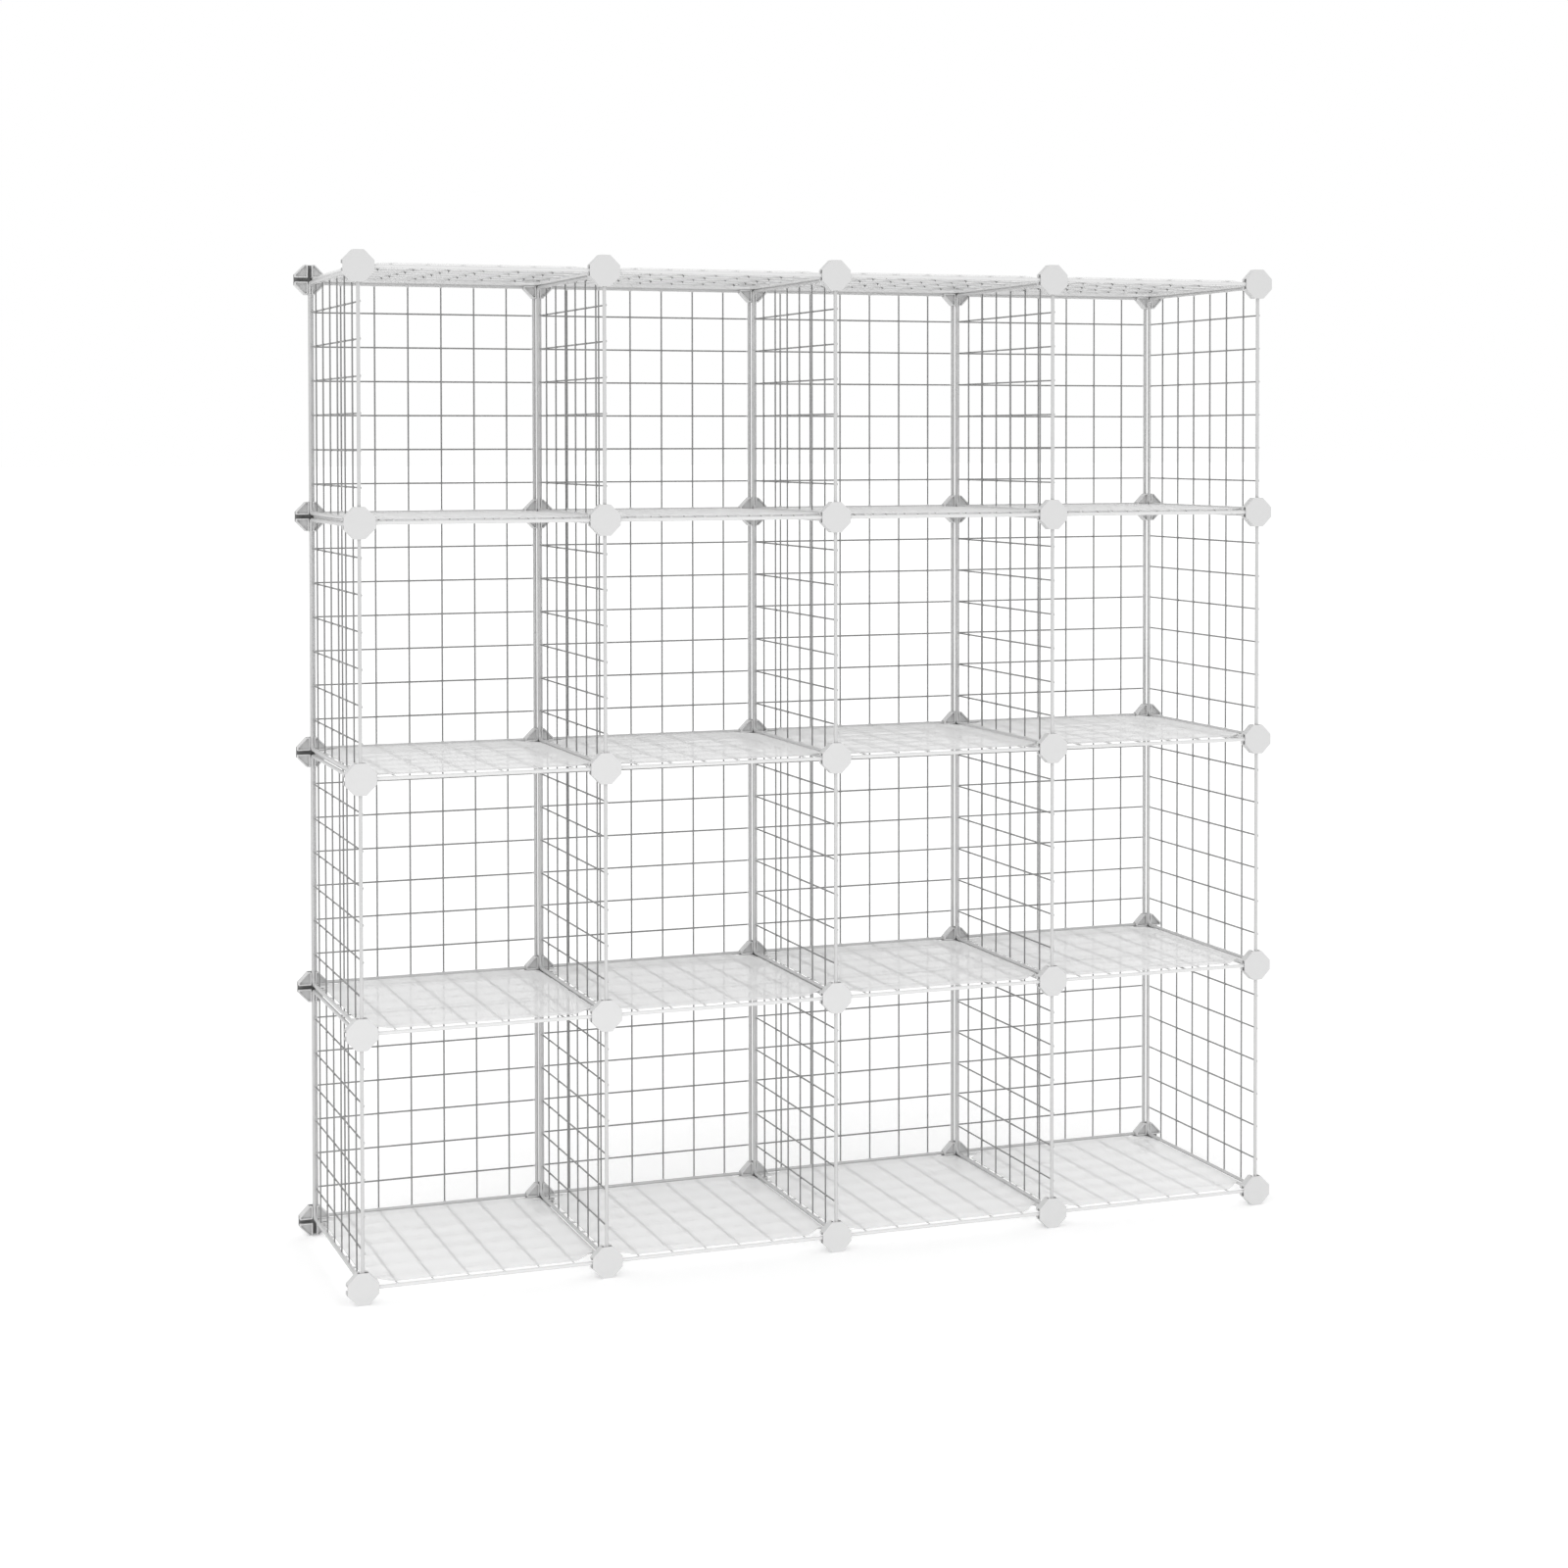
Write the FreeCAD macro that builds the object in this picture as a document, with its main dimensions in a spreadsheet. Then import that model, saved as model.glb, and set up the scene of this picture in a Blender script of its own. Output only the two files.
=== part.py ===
import FreeCAD
import Part
import Sketcher
import math
import os
import re

# Cube storage unit: welded wire grid panels, octagonal slotted connectors and loose plastic sheets.
# Millimetres. +Z is up, +Y points to the back, and the origin is on the floor under the centre.

COLUMNS = 4
ROWS = 4
WIRES = 6
QUADRANTS = 4
# How near two heights are when they count as the same
TOUCHING = 1e-6

DIMENSIONS = {
    # distance from one connector's centre to the next
    "pitch": 300,
    # welded grid panel
    "panel": 292,
    "frame_wire": 4.5,
    "bend": 9,
    "mesh_wire": 2.2,
    "spacing": 43.55,
    "lap_height": 2.55,
    "cross_height": 0.75,
    "lap_end": 0.5,
    # octagonal connector
    "across": 38,
    "flat": 13,
    "cap": 2,
    "edge_break": 0.4,
    "seat": 7,
    "pocket_floor": 1.4,
    "connector_depth": 12,
    "slot": 5,
    "wall": 1.6,
    "flare": 0.8,
    # play left where the panels seat in the connectors
    "front_play": 0.35,
    "rear_play": 0.9,
    "cap_play": 0.15,
    # loose sheet
    "sheet": 286,
    "sheet_thickness": 0.8,
    "sheet_corner": 30,
}

DERIVED = {
    "reach": "across / 2",
    "half_slot": "slot / 2",
    "half_flat": "flat / 2",
    "slant_wall": "wall * sqrt(2)",
    "panel_y": "cap + front_play + frame_wire / 2 + panel / 2",
    "back_y": "panel_y + panel / 2 + frame_wire + rear_play",
    "depth": "back_y + frame_wire / 2 + cap_play + cap",
    "sheet_z": "lap_height + mesh_wire / 2",
}

X = FreeCAD.Vector(1, 0, 0)
Y = FreeCAD.Vector(0, 1, 0)
Z = FreeCAD.Vector(0, 0, 1)

# Each turn names where a piece's own x, y and z directions point in the unit.
PANEL_AT_BACK = FreeCAD.Rotation(-X, Z, Y, "ZXY")
PANEL_UPRIGHT = FreeCAD.Rotation(Y, Z, X, "ZXY")
PANEL_LEVEL = FreeCAD.Rotation(Y, -X, Z, "ZXY")
CONNECTOR_AT_FRONT = FreeCAD.Rotation(X, -Z, Y, "ZXY")
CONNECTOR_AT_BACK = FreeCAD.Rotation(X, Z, -Y, "ZXY")
FLAT = FreeCAD.Rotation()

doc = FreeCAD.newDocument("cube_storage_unit")


def make_sizes():
    """The sheet of sizes, one to a row: the driving ones, then those worked out from them."""
    sheet = doc.addObject("Spreadsheet::Sheet", "sizes")
    cells = {name: str(number) for name, number in DIMENSIONS.items()}
    cells.update({name: "=" + formula for name, formula in DERIVED.items()})
    for row, (name, content) in enumerate(cells.items(), start=1):
        sheet.set(f"A{row}", name)
        sheet.set(f"B{row}", content)
        sheet.setAlias(f"B{row}", name)
    doc.recompute()
    return sheet


sizes = make_sizes()


def value(formula):
    """The number that a formula of size names gives."""
    return float(sizes.evalExpression(formula))


def bind(thing, name, formula):
    """Bind one property of an object to a formula of size names."""
    thing.setExpression(name, re.sub(r"[a-z_]+", r"sizes.\g<0>", formula))


def bind_place(thing, turn, places):
    """Turn a piece, and bind its position to three formulas."""
    thing.Placement = FreeCAD.Placement(FreeCAD.Vector(), turn)
    for axis, formula in zip("xyz", places):
        bind(thing, f"Placement.Base.{axis}", formula)


def new_body(label):
    body = doc.addObject("PartDesign::Body", label)
    body.Label = label
    return body


def new_sketch(body, name, role, lift=None):
    """A sketch on one of the body's origin planes, raised from it by a formula if one is given."""
    sketch = body.newObject("Sketcher::SketchObject", name)
    plane = next(item for item in body.Origin.OriginFeatures if item.Role == role)
    sketch.AttachmentSupport = (plane, "")
    sketch.MapMode = "FlatFace"
    if lift:
        bind(sketch, "AttachmentOffset.Base.z", lift)
    return sketch


def dimension(sketch, constraint, formula):
    """Add one sketch dimension, bound to a formula."""
    index = sketch.addConstraint(constraint)
    name = f"dimension_{index}"
    sketch.renameConstraint(index, name)
    bind(sketch, f"Constraints.{name}", formula)


def hold_point(sketch, edge, end, across, up):
    """Hold one end of an edge, or a circle's centre, at two distances from the sketch's origin."""
    spot = sketch.getPoint(edge, end)
    dimension(sketch, Sketcher.Constraint("DistanceX", -1, 1, edge, end, spot.x), across)
    dimension(sketch, Sketcher.Constraint("DistanceY", -1, 1, edge, end, spot.y), up)


def add_outline(sketch, corners):
    """A closed outline of straight edges, each corner given as two formulas."""
    points = [FreeCAD.Vector(value(across), value(up), 0) for across, up in corners]
    for start, end in zip(points, points[1:] + points[:1]):
        sketch.addGeometry(Part.LineSegment(start, end), False)
    for edge, (across, up) in enumerate(corners):
        last = (edge - 1) % len(corners)
        sketch.addConstraint(Sketcher.Constraint("Coincident", last, 2, edge, 1))
        hold_point(sketch, edge, 1, across, up)


def add_clipped_square(sketch, reach, flat):
    """A square with slanting corners. It reaches one formula out, and each slant starts at the other."""
    corners = []
    for turn, (right, up) in enumerate([(1, 1), (-1, 1), (-1, -1), (1, -1)]):
        pair = [(reach, flat), (flat, reach)]
        pair = pair if turn % 2 == 0 else pair[::-1]
        corners += [(f"{right} * {across}", f"{up} * {rise}") for across, rise in pair]
    add_outline(sketch, corners)


def add_circle(sketch, across, up, diameter):
    """A circle whose centre and diameter are formulas."""
    centre = FreeCAD.Vector(value(across), value(up), 0)
    edge = sketch.addGeometry(Part.Circle(centre, Z, value(diameter) / 2), False)
    hold_point(sketch, edge, 3, across, up)
    dimension(sketch, Sketcher.Constraint("Diameter", edge, value(diameter)), diameter)


def add_rounded_square(sketch, side, bend):
    """A square loop about the origin, with its corners bent to a radius."""
    half = value(side) / 2
    radius = value(bend)
    inner = half - radius
    quarter = math.pi / 2
    for turn in range(4):
        spin = FreeCAD.Rotation(Z, 90 * turn)
        start = spin.multVec(FreeCAD.Vector(-inner, -half, 0))
        end = spin.multVec(FreeCAD.Vector(inner, -half, 0))
        middle = spin.multVec(FreeCAD.Vector(inner, -inner, 0))
        circle = Part.Circle(middle, Z, radius)
        sketch.addGeometry(Part.LineSegment(start, end), False)
        sketch.addGeometry(Part.ArcOfCircle(circle, quarter * (turn - 1), quarter * turn), False)
    for line in range(0, 8, 2):
        arc = line + 1
        sketch.addConstraint(Sketcher.Constraint("Tangent", line, 2, arc, 1))
        sketch.addConstraint(Sketcher.Constraint("Tangent", arc, 2, (line + 2) % 8, 1))
    sketch.addConstraint(Sketcher.Constraint("Horizontal", 0))
    sketch.addConstraint(Sketcher.Constraint("Vertical", 2))
    dimension(sketch, Sketcher.Constraint("Radius", 1, radius), bend)
    inset = f"{side} / 2 - {bend}"
    hold_point(sketch, 1, 3, inset, f"-({inset})")
    hold_point(sketch, 5, 3, f"-({inset})", inset)
    for arc in (3, 5):
        sketch.addConstraint(Sketcher.Constraint("Equal", 1, arc))


def add_pad(body, name, sketch, length, both_ways=False):
    pad = body.newObject("PartDesign::Pad", name)
    pad.Profile = sketch
    pad.Refine = False
    if both_ways:
        pad.SideType = "Symmetric"
    bind(pad, "Length", length)
    return pad


def add_row_of_wires(body, name, role, axis, place, length):
    """Straight wires, side by side: one padded circle, repeated across the panel."""
    sketch = new_sketch(body, f"{name}_section", role)
    add_circle(sketch, *place, "mesh_wire")
    wire = add_pad(body, f"{name}_wire", sketch, length, both_ways=True)
    row = body.newObject("PartDesign::LinearPattern", f"{name}_row")
    row.Originals = [wire]
    row.Direction = (next(item for item in body.Origin.OriginFeatures if item.Role == axis), [""])
    row.Refine = False
    row.Occurrences = WIRES
    bind(row, "Length", f"spacing * {WIRES - 1}")
    body.Tip = row


def make_panel():
    """
    One welded grid panel, flat on its own xy plane and centred there.

    The frame wire is a square loop with bent corners. The wires along y meet the frame end on.
    The wires along x cross over them, and their ends lap over the frame.
    """
    body = new_body("grid_panel")
    path = new_sketch(body, "frame_path", "XY_Plane")
    add_rounded_square(path, "panel", "bend")
    section = new_sketch(body, "frame_section", "YZ_Plane")
    add_circle(section, "-(panel / 2)", "0", "frame_wire")
    doc.recompute()
    loop = body.newObject("PartDesign::AdditivePipe", "frame_loop")
    loop.Profile = section
    loop.Spine = (path, [f"Edge{edge + 1}" for edge in range(path.GeometryCount)])
    loop.Refine = False
    first = f"-(spacing * {(WIRES - 1) / 2})"
    add_row_of_wires(body, "cross", "XZ_Plane", "X_Axis", (first, "cross_height"), "panel")
    add_row_of_wires(body, "lap", "YZ_Plane", "Y_Axis", (first, "lap_height"), "panel + lap_end * 2")
    doc.recompute()
    return body


def edges_at_height(shape, height):
    """The names of a shape's edges that lie flat at one height."""
    return [
        f"Edge{index}"
        for index, edge in enumerate(shape.Edges, start=1)
        if max(abs(corner.Point.z - height) for corner in edge.Vertexes) < TOUCHING
    ]


def make_connector():
    """
    One connector, with its plain cap on its own xy plane and its slots opening towards +z.

    The cap carries four quadrants, each tied to it by a rim along the octagon's slanting side.
    Panels edge on to the cap seat in the cross of slots between the quadrants. Panels parallel
    to the cap seat under the quadrants, in the space between their floors and the cap.
    """
    body = new_body("connector")
    outline = new_sketch(body, "cap_outline", "XY_Plane")
    add_clipped_square(outline, "reach", "half_flat")
    cap = add_pad(body, "cap_plate", outline, "cap")
    doc.recompute()
    broken = body.newObject("PartDesign::Chamfer", "edge_break")
    broken.Base = (cap, edges_at_height(cap.Shape, 0))
    bind(broken, "Size", "edge_break")

    rim_outline = new_sketch(body, "rim_outline", "XY_Plane", lift="cap")
    inner_reach = "reach - slant_wall"
    add_outline(rim_outline, [("half_flat", "reach"), ("half_flat", inner_reach),
                              (inner_reach, "half_flat"), ("reach", "half_flat")])
    rim = add_pad(body, "rim", rim_outline, "connector_depth - cap")

    block_outline = new_sketch(body, "quadrant_outline", "XY_Plane", lift="seat")
    mouth = "half_slot + flare"
    neck = "reach - flare"
    add_outline(block_outline, [("half_slot", "half_slot"), (neck, "half_slot"), ("reach", mouth),
                                ("reach", "half_flat"), ("half_flat", "reach"),
                                (mouth, "reach"), ("half_slot", neck)])
    block = add_pad(body, "quadrant", block_outline, "connector_depth - seat")

    recess_outline = new_sketch(body, "recess_outline", "XY_Plane", lift="connector_depth")
    near = "half_slot + wall"
    far = "reach - wall"
    shoulder = "half_flat + wall - slant_wall"
    add_outline(recess_outline, [(near, near), (far, near), (far, shoulder), (shoulder, far), (near, far)])
    recess = body.newObject("PartDesign::Pocket", "recess")
    recess.Profile = recess_outline
    recess.Refine = False
    bind(recess, "Length", "connector_depth - seat - pocket_floor")

    ring = body.newObject("PartDesign::PolarPattern", "quadrants")
    ring.Originals = [rim, block, recess]
    ring.Axis = (next(item for item in body.Origin.OriginFeatures if item.Role == "Z_Axis"), [""])
    ring.Angle = 360
    ring.Occurrences = QUADRANTS
    ring.Refine = False
    body.Tip = ring
    doc.recompute()
    return body


def make_loose_sheet():
    """One thin sheet with slanting corners, lying on its own xy plane and centred there."""
    body = new_body("loose_sheet")
    outline = new_sketch(body, "sheet_outline", "XY_Plane")
    add_clipped_square(outline, "sheet / 2", "(sheet / 2 - sheet_corner)")
    add_pad(body, "sheet", outline, "sheet_thickness")
    doc.recompute()
    return body


def copy_body(pattern, label, turn, places):
    """A body that repeats another one, with a label and a place of its own."""
    body = new_body(label)
    base = body.newObject("PartDesign::FeatureBase", f"{label}_base")
    base.BaseFeature = pattern
    bind_place(body, turn, places)
    return body


def make_group(pattern, label, turn, places):
    """One object that holds a separate solid, the same piece each time, at each of the places."""
    array = doc.addObject("App::Link", f"{label}_array")
    array.LinkedObject = pattern
    array.ShowElement = False
    array.ElementCount = len(places)
    array.PlacementList = [
        FreeCAD.Placement(FreeCAD.Vector(*map(value, place)), turn) for place in places
    ]
    group = doc.addObject("Part::Compound", label)
    group.Label = label
    group.Links = [array]
    return group


def across_at(column):
    """The formula for a junction line's distance across. Half columns are the cubes' middles."""
    return f"pitch * {column - COLUMNS / 2}"


def height_at(row):
    """The formula for a junction level's height. Half rows are the cubes' middles."""
    return f"reach + pitch * {row}"


def back_from_centre(formula):
    return f"{formula} - depth / 2"


def make_unit():
    """Every piece of the unit in its place, as a list of the objects to write."""
    panel = make_panel()
    connector = make_connector()
    sheet = make_loose_sheet()
    columns = range(COLUMNS)
    rows = range(ROWS)
    lines = range(COLUMNS + 1)
    levels = range(ROWS + 1)
    mid_depth = back_from_centre("panel_y")
    pieces = []

    for row in rows:
        for column in columns:
            label = f"back_panel_row_{row + 1}_column_{column + 1}"
            place = (across_at(column + 0.5), back_from_centre("back_y"), height_at(row + 0.5))
            pieces.append(copy_body(panel, label, PANEL_AT_BACK, place))

    for line in lines:
        name = {0: "left_side", COLUMNS: "right_side"}.get(line, f"divider_{line}")
        for row in rows:
            place = (across_at(line), mid_depth, height_at(row + 0.5))
            pieces.append(copy_body(panel, f"{name}_panel_row_{row + 1}", PANEL_UPRIGHT, place))

    for level in levels:
        name = {0: "base", ROWS: "top"}.get(level, f"shelf_{level}")
        for column in columns:
            place = (across_at(column + 0.5), mid_depth, height_at(level))
            pieces.append(copy_body(panel, f"{name}_panel_column_{column + 1}", PANEL_LEVEL, place))

    junctions = [(across_at(line), height_at(level)) for level in levels for line in lines]
    front = [(across, "-(depth / 2)", height) for across, height in junctions]
    back = [(across, "depth / 2", height) for across, height in junctions]
    pieces.append(make_group(connector, "front_connectors", CONNECTOR_AT_FRONT, front))
    pieces.append(make_group(connector, "back_connectors", CONNECTOR_AT_BACK, back))

    lying = [
        (across_at(column + 0.5), mid_depth, f"{height_at(level)} + sheet_z")
        for level in levels for column in columns
    ]
    pieces.append(make_group(sheet, "shelf_sheets", FLAT, lying))
    doc.recompute()
    return pieces


def check(pieces):
    """Stop if any object failed to build, or if a piece's shape is empty or not valid."""
    for item in doc.Objects:
        if {"Invalid", "Error"} & set(item.State):
            raise RuntimeError(f"{item.Label} did not build: {item.State}")
    for piece in pieces:
        if piece.Shape.isNull() or not piece.Shape.isValid() or not piece.Shape.Solids:
            raise RuntimeError(f"{piece.Label} has no valid solid")


unit = make_unit()
check(unit)
os.makedirs("parts", exist_ok=True)
for piece in unit:
    piece.Shape.exportStep(f"parts/{piece.Label}.step")
print(len(unit), "pieces written")
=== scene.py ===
"""Cube storage unit: welded wire grid panels, slotted connectors and loose plastic sheets."""
import math

import bmesh
import bpy
from mathutils import Matrix, Vector


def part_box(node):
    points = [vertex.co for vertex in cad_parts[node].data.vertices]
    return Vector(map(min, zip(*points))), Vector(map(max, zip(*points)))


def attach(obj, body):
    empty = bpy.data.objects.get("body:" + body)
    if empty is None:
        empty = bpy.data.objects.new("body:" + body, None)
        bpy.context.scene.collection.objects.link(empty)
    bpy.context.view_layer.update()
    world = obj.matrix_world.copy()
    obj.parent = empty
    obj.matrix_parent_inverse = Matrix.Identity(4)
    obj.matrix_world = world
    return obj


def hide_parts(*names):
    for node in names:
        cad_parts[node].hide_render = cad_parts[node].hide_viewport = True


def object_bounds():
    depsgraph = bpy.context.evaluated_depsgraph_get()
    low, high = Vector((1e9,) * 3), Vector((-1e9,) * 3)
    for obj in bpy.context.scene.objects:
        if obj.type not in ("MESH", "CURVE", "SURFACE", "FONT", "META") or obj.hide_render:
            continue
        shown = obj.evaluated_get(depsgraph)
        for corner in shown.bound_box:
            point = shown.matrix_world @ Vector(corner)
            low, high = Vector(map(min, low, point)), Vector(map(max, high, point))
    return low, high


bl_info = {
    "name": "Wire cube storage unit",
    "version": (1, 0, 0),
    "blender": (4, 5, 0),
    "location": "View3D > Sidebar > Cube Unit",
    "description": "Builds the grid panels, connectors and sheets of a wire cube unit on its frame",
    "category": "Object",
}

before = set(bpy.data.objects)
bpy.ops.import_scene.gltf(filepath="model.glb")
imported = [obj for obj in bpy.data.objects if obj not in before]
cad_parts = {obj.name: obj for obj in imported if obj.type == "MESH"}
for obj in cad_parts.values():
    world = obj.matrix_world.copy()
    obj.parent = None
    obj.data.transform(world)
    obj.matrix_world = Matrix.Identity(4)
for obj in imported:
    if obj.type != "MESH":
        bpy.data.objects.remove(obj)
CAD_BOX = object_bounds()

MM = 0.001
NODES = sorted(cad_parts)
BODY = "root"

# Where a panel's own x, y and z directions point: along its lapped wires, along its other wires,
# and out of the side that the lapped wires are on.
PANEL_TURNS = {
    "back": ((-1, 0, 0), (0, 0, 1), (0, 1, 0)),
    "upright": ((0, 1, 0), (0, 0, 1), (1, 0, 0)),
    "level": ((0, 1, 0), (-1, 0, 0), (0, 0, 1)),
}
# The same for a connector, whose slots open along its own z.
CONNECTOR_TURNS = {
    "front": ((1, 0, 0), (0, 0, -1), (0, 1, 0)),
    "back": ((1, 0, 0), (0, 0, 1), (0, -1, 0)),
}


def middle(node):
    low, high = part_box(node)
    return (low + high) / 2


def placed(directions, place):
    """The matrix that turns a piece's own directions to the given ones and moves it to a place."""
    turn = Matrix([Vector(direction) for direction in directions]).transposed()
    return Matrix.Translation(place) @ turn.to_4x4()


def thin_axis(node):
    """The axis that a node reaches least far along."""
    low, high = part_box(node)
    return min(range(3), key=lambda axis: high[axis] - low[axis])


# The axis across each kind of panel, and the nodes of that kind.
THIN_AXES = {"upright": 0, "back": 1, "level": 2}
PANEL_AXES = {node: thin_axis(node) for node in NODES if "_panel_" in node}
PANEL_NODES = {
    kind: [node for node, found in PANEL_AXES.items() if found == axis]
    for kind, axis in THIN_AXES.items()
}
LEVEL_LOW, LEVEL_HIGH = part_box(PANEL_NODES["level"][0])
PANEL_OUTER = LEVEL_HIGH.x - LEVEL_LOW.x
FRONT_LOW, FRONT_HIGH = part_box("front_connectors")
BACK_LOW, BACK_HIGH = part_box("back_connectors")
CONNECTOR_DEPTH = FRONT_HIGH.y - FRONT_LOW.y
SHEETS_LOW, SHEETS_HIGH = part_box("shelf_sheets")


# ---------------------------------------------------------------- sizes and finishes

def size(name, default, description):
    """A length that a user may change, in metres."""
    return bpy.props.FloatProperty(
        name=name, default=default, description=description, min=0, unit="LENGTH", precision=5
    )


def tone(name, default, description):
    """A colour that a user may change."""
    return bpy.props.FloatVectorProperty(
        name=name, default=default, description=description, subtype="COLOR", size=3, min=0, max=1
    )


def share(name, default, description, top=1.0):
    """A plain number that a user may change."""
    return bpy.props.FloatProperty(name=name, default=default, description=description, min=0, max=top)


def count(name, default, description):
    return bpy.props.IntProperty(name=name, default=default, description=description, min=1)


class PanelSettings(bpy.types.PropertyGroup):
    """Sizes of one welded grid panel."""

    frame_wire: size("Frame wire", 4.5 * MM, "Diameter of the wire loop around the panel")
    bend: size("Bend", 9 * MM, "Radius of the loop's corners, to the middle of the wire")
    mesh_wire: size("Mesh wire", 2.2 * MM, "Diameter of the straight wires")
    spacing: size("Spacing", 43.55 * MM, "Distance between straight wires, middle to middle")
    wires: count("Wires each way", 6, "Straight wires in each direction")
    lap_height: size("Lap height", 2.55 * MM, "Height of the lapped wires above the loop's middle")
    cross_height: size("Cross height", 0.75 * MM, "Height of the other wires above the loop's middle")
    lap_end: size("Lap end", 0.5 * MM, "How far a lapped wire runs past the loop's middle")
    weld: size("Weld", 1.6 * MM, "Radius of the coated weld where two wires cross")
    weld_height: size("Weld height", 4.1 * MM, "Height of that weld, through both wires")


class ConnectorSettings(bpy.types.PropertyGroup):
    """Sizes of one slotted connector."""

    across: size("Across flats", 38 * MM, "Width of the octagon across its flats")
    flat: size("Flat", 13 * MM, "Length of the octagon's upper, lower and side flats")
    cap: size("Cap", 2 * MM, "Thickness of the plain cap")
    seat: size("Seat", 7 * MM, "Height of the quadrants' underside from the cap's face")
    floor: size("Floor", 1.4 * MM, "Thickness of each quadrant's floor")
    slot: size("Slot", 5 * MM, "Width of the slots")
    wall: size("Wall", 1.6 * MM, "Thickness of the walls beside the slots")
    flare: size("Flare", 0.8 * MM, "How far the slots' mouths open out")
    rounding: size("Rounding", 0.35 * MM, "Radius of the moulded edges")
    lines: count("Lines", 5, "Connectors across, and connectors up")


class SheetSettings(bpy.types.PropertyGroup):
    """Sizes of one loose sheet."""

    side: size("Side", 286 * MM, "Length of the sheet's sides before its corners are cut")
    thickness: size("Thickness", 0.8 * MM, "Thickness of the sheet")
    corner: size("Corner", 30 * MM, "How much of each side the slanting corner takes")
    wave: size("Wave", 0.25 * MM, "How far the sheet lifts where it doesn't lie quite flat")
    cells: count("Cells", 22, "Divisions along each side")


class FinishSettings(bpy.types.PropertyGroup):
    """Colours and surface of the materials."""

    coat: tone("Wire coat", (0.70, 0.70, 0.70), "Lightest tone of the wires' powder coat")
    # Painted shade: the tone that a wire's coat is darkened towards, where the wire stores a painted shade.
    coat_painted_shade: tone("Wire shade", (0.10, 0.10, 0.10), "Darkest tone of the wires' powder coat")
    # Painted shade of each part of a panel: standing panels' wires are painted darker than lying ones, as
    # though less lit, and welds are painted dark as shadow where wires cross.
    standing_frame: share("Standing loops", 0.23, "Shade of the standing panels' frame loops")
    standing_lapped: share("Standing lapped wires", 0.73, "Shade of the standing panels' lapped wires")
    standing_cross: share("Standing cross wires", 0.73, "Shade of the standing panels' other wires")
    standing_weld: share("Standing welds", 0.73, "Shade of the welds in the standing panels")
    lying_frame: share("Lying loops", 0.0, "Shade of the lying panels' frame loops")
    lying_lapped: share("Lying lapped wires", 0.12, "Shade of the lying panels' lapped wires")
    lying_cross: share("Lying cross wires", 0.1, "Shade of the lying panels' other wires")
    lying_weld: share("Lying welds", 1.0, "Shade of the welds in the lying panels")
    plastic: tone("Connector", (0.61, 0.61, 0.61), "Moulded plastic of the connectors")
    sheet: tone("Sheet", (0.90, 0.90, 0.90), "Plastic of the sheets")
    # Painted shade: the tone that the connectors' slots and recesses are darkened towards.
    plastic_painted_shade: tone("Connector shade", (0.03, 0.03, 0.03), "Darkest tone inside the connectors")
    sheet_cover: share("Sheet cover", 0.35, "How much one face of a sheet hides of what is behind it")
    sheet_glow: share("Sheet glow", 0.35, "How much of a sheet's own light comes from behind it")


class StageSettings(bpy.types.PropertyGroup):
    """Floor, light and camera."""

    floor: tone("Floor", (0.95, 0.95, 0.95), "Colour of the floor")
    floor_glow: share("Floor glow", 0.12, "Light given off by the floor, like a white studio table")
    # Painted light: a glow from the floor only under the unit, lifting the shade there.
    painted_glow_under_unit: share("Table glow", 0.22, "Extra light given off by the floor under the unit")
    fill: bpy.props.FloatProperty(
        name="Fill light", default=4.2, min=0, unit="POWER",
        description="Power of the low soft light in front, which the floor isn't lit by",
    )
    sky: share("Sky", 1.0, "Strength of the even light from all round", 10)
    key: share("Key light", 0.3, "Strength of the soft light from the front and left", 10)
    lens: bpy.props.FloatProperty(name="Lens", default=61.4, description="Focal length in millimetres")
    place: bpy.props.FloatVectorProperty(
        name="Camera place", default=(-1.2554, -3.2288, 1.0154), subtype="TRANSLATION",
        description="Where the camera stands",
    )
    aim: bpy.props.FloatVectorProperty(
        name="Camera turn", subtype="EULER", description="How the camera is turned",
        default=(math.radians(88.6404), math.radians(0.0993), math.radians(-19.8449)),
    )
    shift: bpy.props.FloatVectorProperty(
        name="Camera shift", default=(0.0366, -0.1790), size=2,
        description="How far the picture is shifted across and up, as a share of its width",
    )


class CubeUnitSettings(bpy.types.PropertyGroup):
    """All the settings of the unit."""

    panel: bpy.props.PointerProperty(type=PanelSettings)
    connector: bpy.props.PointerProperty(type=ConnectorSettings)
    sheet: bpy.props.PointerProperty(type=SheetSettings)
    finish: bpy.props.PointerProperty(type=FinishSettings)
    stage: bpy.props.PointerProperty(type=StageSettings)


def settings():
    return bpy.context.scene.cube_unit


# The parts of a panel that have a painted shade of their own, which darkens their coat
PAINTED_SHADE_PARTS = ("Frame", "Lapped", "Cross", "Weld")
# Painted shade for each kind of face on a connector, by how far it is shut in
CONNECTOR_PAINTED_SHADE = {"outer": 0.0, "recess": 0.1, "slot_wall": 0.25, "slot_floor": 0.7}


# ---------------------------------------------------------------- node building

class Value:
    """A socket that can be used in arithmetic, which adds the Math nodes for it."""

    def __init__(self, graph, socket):
        self.graph = graph
        self.socket = socket

    def _math(self, operation, first, second):
        return self.graph.math(operation, first, second)

    def __add__(self, other):
        return self._math("ADD", self, other)

    def __radd__(self, other):
        return self._math("ADD", other, self)

    def __sub__(self, other):
        return self._math("SUBTRACT", self, other)

    def __rsub__(self, other):
        return self._math("SUBTRACT", other, self)

    def __mul__(self, other):
        return self._math("MULTIPLY", self, other)

    def __rmul__(self, other):
        return self._math("MULTIPLY", other, self)

    def __truediv__(self, other):
        return self._math("DIVIDE", self, other)

    def __neg__(self):
        return self._math("MULTIPLY", self, -1.0)


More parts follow.
